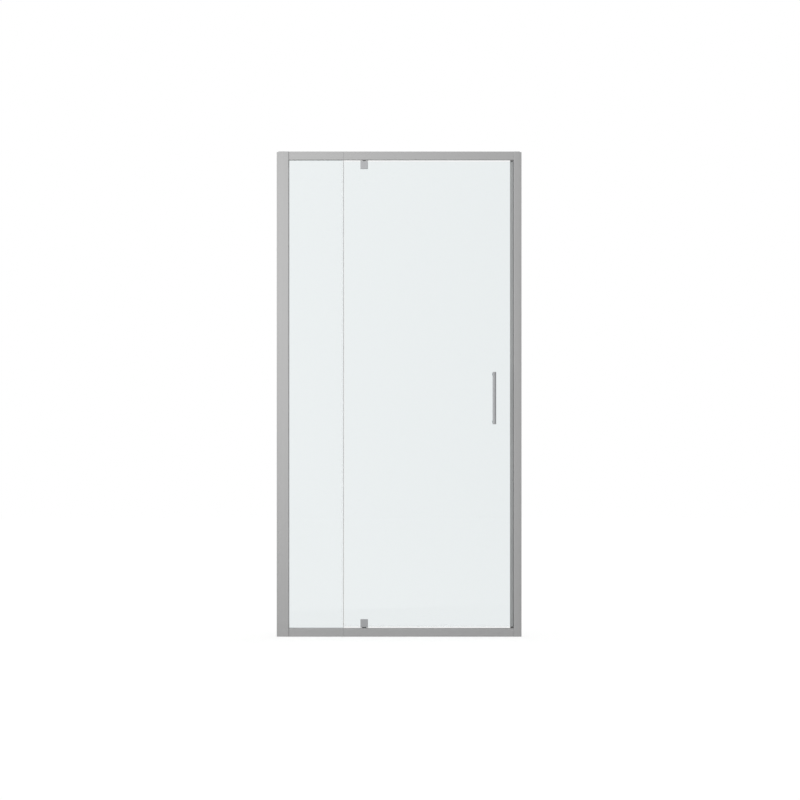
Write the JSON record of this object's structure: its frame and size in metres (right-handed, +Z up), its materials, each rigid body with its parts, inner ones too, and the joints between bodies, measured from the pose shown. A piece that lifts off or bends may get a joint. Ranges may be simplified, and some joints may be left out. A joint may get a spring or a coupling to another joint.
{
  "type": "shower door",
  "caption": "Framed pivot shower door for an alcove: satin aluminium posts and rails, narrow fixed pane, clear glass door on pivot blocks with a round bar handle.",
  "frame": {"origin": "middle of the sill's underside, on the plane of the glass", "axes": "+X to the right along the opening as seen from outside, +Y into the shower, +Z up"},
  "size_m": [0.984, 0.0766, 1.95],
  "materials": {
    "anodised_aluminium": "satin",
    "mill_aluminium": "mill",
    "cast_zinc": "as cast",
    "satin_chrome": "satin",
    "stainless_steel": "satin",
    "toughened_glass": "clear",
    "clear_pvc": "clear",
    "grey_pvc": "satin",
    "grey_gasket": "matt",
    "magnet_strip": "matt",
    "grey_acetal": "matt",
    "grey_plastic": "satin"
  },
  "bodies": {
    "frame": {"jamb_left": "anodised_aluminium", "jamb_right": "anodised_aluminium", "jamb_cap_left": "grey_plastic", "jamb_cap_right": "grey_plastic", "rail_top_fixed": "anodised_aluminium", "rail_bottom_fixed": "anodised_aluminium", "rail_top_door": "anodised_aluminium", "rail_bottom_door": "anodised_aluminium", "rail_joiner_top": "mill_aluminium", "rail_joiner_bottom": "mill_aluminium", "joiner_screws_top": "stainless_steel", "joiner_screws_bottom": "stainless_steel", "corner_screws_left": "stainless_steel", "corner_screws_right": "stainless_steel", "fixed_pane": "toughened_glass", "gasket_left": "grey_gasket", "gasket_top": "grey_gasket", "gasket_bottom": "grey_gasket", "pane_seal": "clear_pvc", "strike_strip": "anodised_aluminium", "strike_magnet": "magnet_strip", "pivot_insert_top": "cast_zinc", "pivot_insert_bottom": "cast_zinc", "insert_screws_top": "stainless_steel", "insert_screws_bottom": "stainless_steel", "pivot_bush_top": "grey_acetal", "pivot_bush_bottom": "grey_acetal", "thrust_washer": "grey_acetal"},
    "door": {"door_pane": "toughened_glass", "closing_seal": "grey_pvc", "closing_magnet": "magnet_strip", "sweep_seal_main": "clear_pvc", "sweep_seal_tail": "clear_pvc", "pivot_pin_top": "stainless_steel", "pivot_pin_bottom": "stainless_steel", "pivot_block_top": "satin_chrome", "pivot_block_bottom": "satin_chrome", "pivot_cover_top": "satin_chrome", "pivot_cover_bottom": "satin_chrome", "pivot_pads_top": "grey_gasket", "pivot_pads_bottom": "grey_gasket", "pivot_screws_top": "stainless_steel", "pivot_screws_bottom": "stainless_steel", "handle_bar": "satin_chrome", "handle_post_upper": "satin_chrome", "handle_post_lower": "satin_chrome", "handle_sleeves": "clear_pvc", "handle_washers": "clear_pvc", "handle_bolts": "satin_chrome"},
    "left_channel": {"wall_channel_left": "anodised_aluminium", "lock_screws_left": "stainless_steel"},
    "right_channel": {"wall_channel_right": "anodised_aluminium", "lock_screws_right": "stainless_steel"}
  },
  "joints": [
    {"name": "door_swing", "type": "hinge", "parent": "frame", "child": "door", "pos_m": [-0.1405, 0, 0.975], "axis": [0, 0, -1], "range_deg": [0, 100]},
    {"name": "left_adjust", "type": "slide", "parent": "frame", "child": "left_channel", "axis": [-1, 0, 0], "range_m": [-0.006, 0.006]},
    {"name": "right_adjust", "type": "slide", "parent": "frame", "child": "right_channel", "axis": [1, 0, 0], "range_m": [-0.006, 0.006]}
  ]
}
